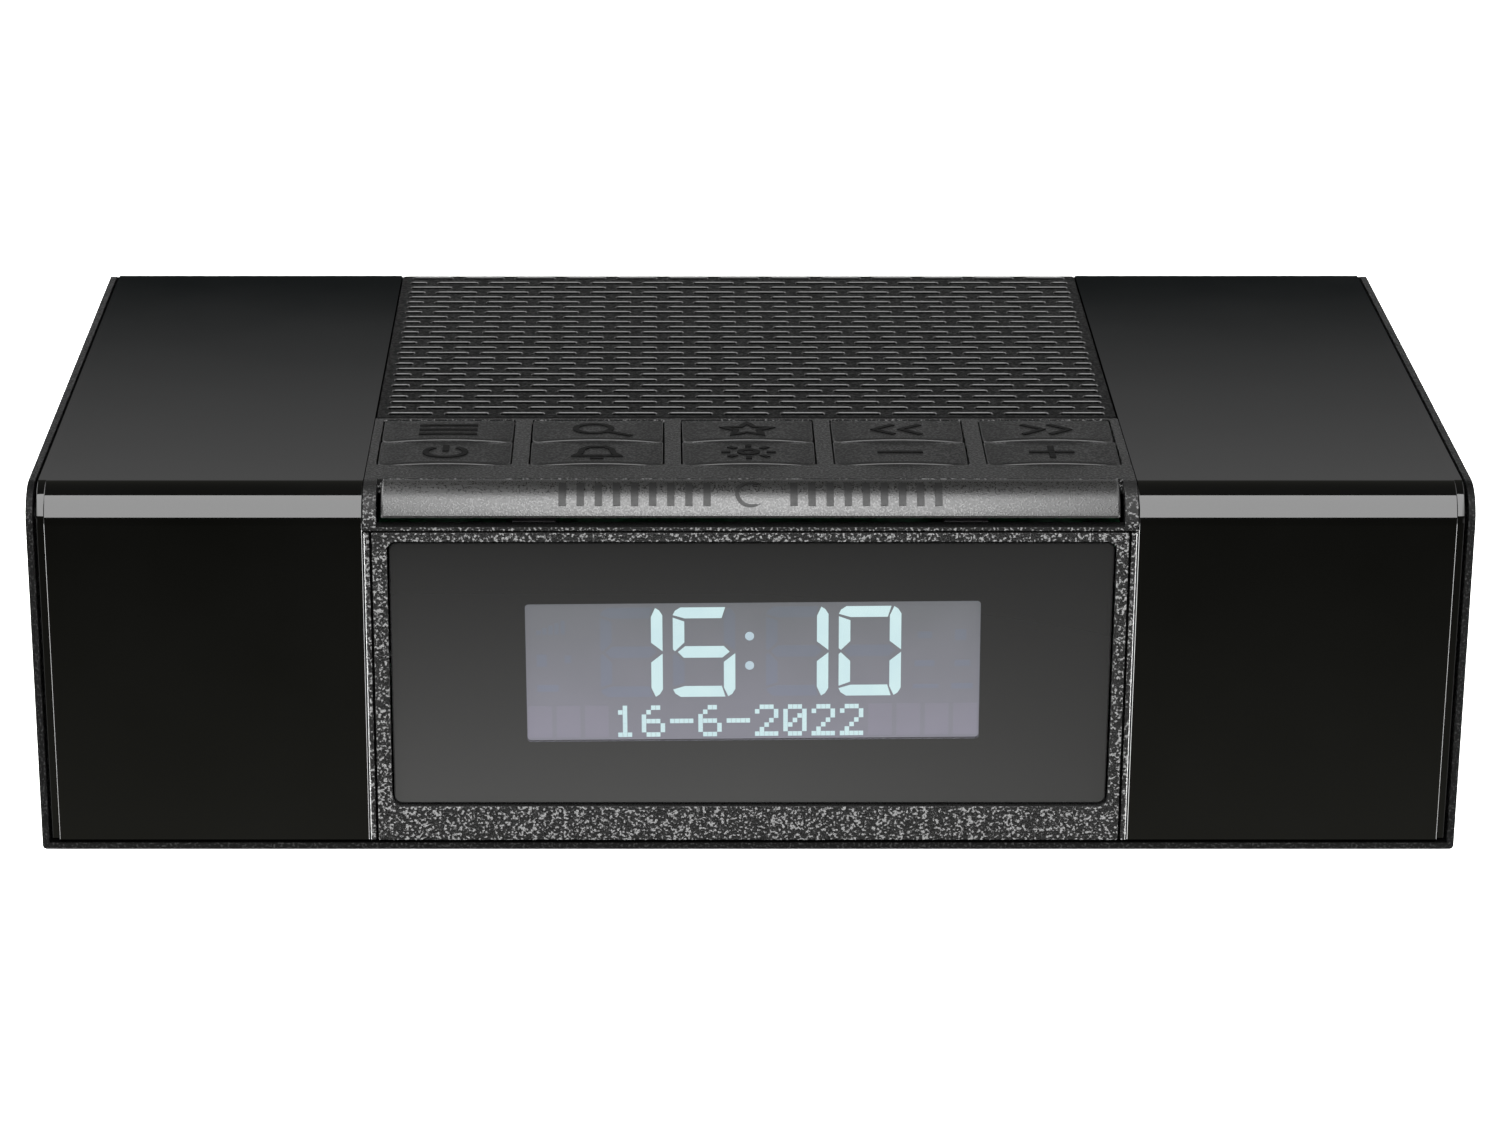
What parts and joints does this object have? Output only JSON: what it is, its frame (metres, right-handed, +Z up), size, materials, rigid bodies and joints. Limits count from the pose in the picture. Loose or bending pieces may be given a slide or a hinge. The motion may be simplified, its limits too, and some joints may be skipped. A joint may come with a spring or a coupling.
{
  "type": "tabletop clock radio",
  "caption": "Low wide black bedside clock radio: gloss side panels, textured centre band with speaker grille, sprung keys, snooze bar and a smoked display window.",
  "frame": {"origin": "centre of the footprint, on the plane that the feet rest on", "axes": "+X to the right seen from the front, +Y from the display towards the back, +Z up"},
  "size_m": [0.2, 0.104, 0.0557],
  "materials": {
    "textured_black": "spark-eroded matt grain",
    "gloss_black": "piano gloss",
    "key_black": "fine satin grain",
    "smoked_lens": "polished smoked acrylic",
    "lcd": "lit negative display glass",
    "inner_black": "moulded black",
    "light_guide": "diffusing white acrylic",
    "circuit_board": "green solder mask",
    "tinned_steel": "tinned sheet",
    "dark_steel": "black zinc",
    "ferrite": "pressed ferrite",
    "soft_rubber": "matt rubber",
    "cone_fibre": "treated paper cone",
    "foam": "open-cell foam",
    "copper": "enamelled winding wire"
  },
  "bodies": {
    "root": {"bottom_housing": "textured_black", "left_gloss_panel": "gloss_black", "right_gloss_panel": "gloss_black", "key_deck": "textured_black", "display_bezel": "textured_black", "speaker_grille": "textured_black", "key_board": "circuit_board", "display_lens": "smoked_lens", "display_carrier": "inner_black", "lcd_glass": "lcd", "light_guide": "light_guide", "display_board": "circuit_board", "main_board": "circuit_board", "tuner_module": "tinned_steel", "dc_jack": "inner_black", "headphone_jack": "inner_black", "aerial_grommet": "soft_rubber", "speaker_gasket": "foam", "speaker_basket": "dark_steel", "speaker_magnet": "ferrite", "speaker_surround": "soft_rubber", "switch_menu": "inner_black", "switch_power": "inner_black", "switch_scan": "inner_black", "switch_alarm": "inner_black", "switch_preset": "inner_black", "switch_dimmer": "inner_black", "switch_tune_down": "inner_black", "switch_volume_down": "inner_black", "switch_tune_up": "inner_black", "switch_volume_up": "inner_black", "switch_snooze_left": "inner_black", "switch_snooze_right": "inner_black", "foot_front_left": "soft_rubber", "case_screw_front_left": "dark_steel", "speaker_screw_front_left": "dark_steel", "foot_front_right": "soft_rubber", "case_screw_front_right": "dark_steel", "speaker_screw_front_right": "dark_steel", "foot_rear_left": "soft_rubber", "case_screw_rear_left": "dark_steel", "speaker_screw_rear_left": "dark_steel", "foot_rear_right": "soft_rubber", "case_screw_rear_right": "dark_steel", "speaker_screw_rear_right": "dark_steel"},
    "key_menu": {"key_menu": "key_black"},
    "key_power": {"key_power": "key_black"},
    "key_scan": {"key_scan": "key_black"},
    "key_alarm": {"key_alarm": "key_black"},
    "key_preset": {"key_preset": "key_black"},
    "key_dimmer": {"key_dimmer": "key_black"},
    "key_tune_down": {"key_tune_down": "key_black"},
    "key_volume_down": {"key_volume_down": "key_black"},
    "key_tune_up": {"key_tune_up": "key_black"},
    "key_volume_up": {"key_volume_up": "key_black"},
    "snooze_bar": {"snooze_bar": "key_black"},
    "speaker_cone": {"speaker_cone": "cone_fibre", "dust_cap": "cone_fibre", "voice_coil": "copper"}
  },
  "joints": [
    {"name": "key_menu_press", "type": "slide", "parent": "root", "child": "key_menu", "axis": [0, 0, -1], "range_m": [0, 0.0008], "stiffness_N_per_m": 1500},
    {"name": "key_power_press", "type": "slide", "parent": "root", "child": "key_power", "axis": [0, 0, -1], "range_m": [0, 0.0008], "stiffness_N_per_m": 1500},
    {"name": "key_scan_press", "type": "slide", "parent": "root", "child": "key_scan", "axis": [0, 0, -1], "range_m": [0, 0.0008], "stiffness_N_per_m": 1500},
    {"name": "key_alarm_press", "type": "slide", "parent": "root", "child": "key_alarm", "axis": [0, 0, -1], "range_m": [0, 0.0008], "stiffness_N_per_m": 1500},
    {"name": "key_preset_press", "type": "slide", "parent": "root", "child": "key_preset", "axis": [0, 0, -1], "range_m": [0, 0.0008], "stiffness_N_per_m": 1500},
    {"name": "key_dimmer_press", "type": "slide", "parent": "root", "child": "key_dimmer", "axis": [0, 0, -1], "range_m": [0, 0.0008], "stiffness_N_per_m": 1500},
    {"name": "key_tune_down_press", "type": "slide", "parent": "root", "child": "key_tune_down", "axis": [0, 0, -1], "range_m": [0, 0.0008], "stiffness_N_per_m": 1500},
    {"name": "key_volume_down_press", "type": "slide", "parent": "root", "child": "key_volume_down", "axis": [0, 0, -1], "range_m": [0, 0.0008], "stiffness_N_per_m": 1500},
    {"name": "key_tune_up_press", "type": "slide", "parent": "root", "child": "key_tune_up", "axis": [0, 0, -1], "range_m": [0, 0.0008], "stiffness_N_per_m": 1500},
    {"name": "key_volume_up_press", "type": "slide", "parent": "root", "child": "key_volume_up", "axis": [0, 0, -1], "range_m": [0, 0.0008], "stiffness_N_per_m": 1500},
    {"name": "snooze_press", "type": "slide", "parent": "root", "child": "snooze_bar", "axis": [0, 0, -1], "range_m": [0, 0.0007], "stiffness_N_per_m": 2500},
    {"name": "cone_travel", "type": "slide", "parent": "root", "child": "speaker_cone", "axis": [0, 0, 1], "range_m": [-0.001, 0.001], "stiffness_N_per_m": 1200}
  ]
}
